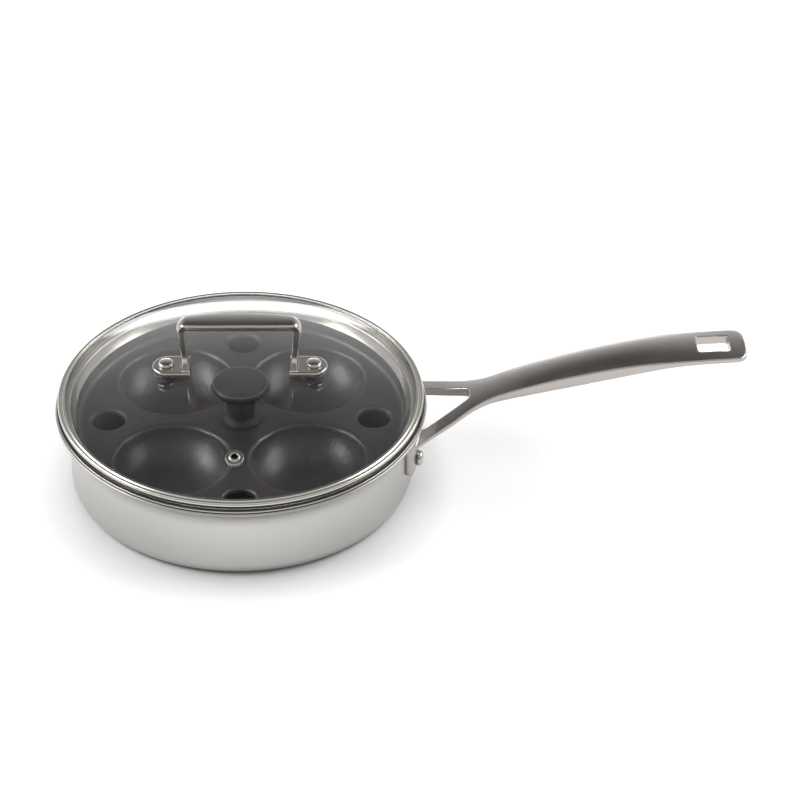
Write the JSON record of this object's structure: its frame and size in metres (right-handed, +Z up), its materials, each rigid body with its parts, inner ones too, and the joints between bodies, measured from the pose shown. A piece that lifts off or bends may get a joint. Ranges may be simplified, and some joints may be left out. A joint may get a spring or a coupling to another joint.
{
  "type": "egg poacher pan",
  "caption": "Shallow flared steel pan with a forked long handle, a drop-in dark tray of round egg cups with a knob, and a domed glass lid with an arch handle.",
  "frame": {"origin": "centre of the pan's base, on the surface it stands on", "axes": "+Z up along the pan's axis, +X along the long handle, away from the pan"},
  "size_m": [0.3921, 0.2102, 0.1071],
  "materials": {
    "pan_steel": "satin brushed outside, bright at the rim",
    "cast_steel": "satin cast stainless steel",
    "rivet_steel": "polished",
    "rim_steel": "polished rolled strip",
    "tray_coating": "dark speckled non-stick coating on steel, bare steel flange",
    "knob_coating": "satin dark grey heat-proof plastic",
    "lid_glass": "clear toughened glass",
    "silicone": "satin silicone"
  },
  "bodies": {
    "pan": {"pan_shell": "pan_steel", "long_handle": "cast_steel", "handle_rivet_front": "rivet_steel", "handle_rivet_rear": "rivet_steel"},
    "tray": {"poacher_tray": "tray_coating", "tray_knob": "knob_coating", "tray_knob_washer": "rivet_steel", "tray_knob_screw": "rivet_steel"},
    "lid": {"lid_glass": "lid_glass", "lid_rim": "rim_steel", "steam_vent": "rim_steel", "lid_handle": "cast_steel", "lid_screw_left": "rivet_steel", "lid_screw_right": "rivet_steel", "lid_gasket_left": "silicone", "lid_gasket_right": "silicone", "lid_washer_left": "silicone", "lid_washer_right": "silicone", "lid_nut_left": "rivet_steel", "lid_nut_right": "rivet_steel"}
  },
  "joints": [
    {"name": "tray_lift", "type": "slide", "parent": "pan", "child": "tray", "axis": [0, 0, 1], "range_m": [0, 0.08]},
    {"name": "lid_lift", "type": "slide", "parent": "tray", "child": "lid", "axis": [0, 0, 1], "range_m": [0, 0.08]}
  ]
}
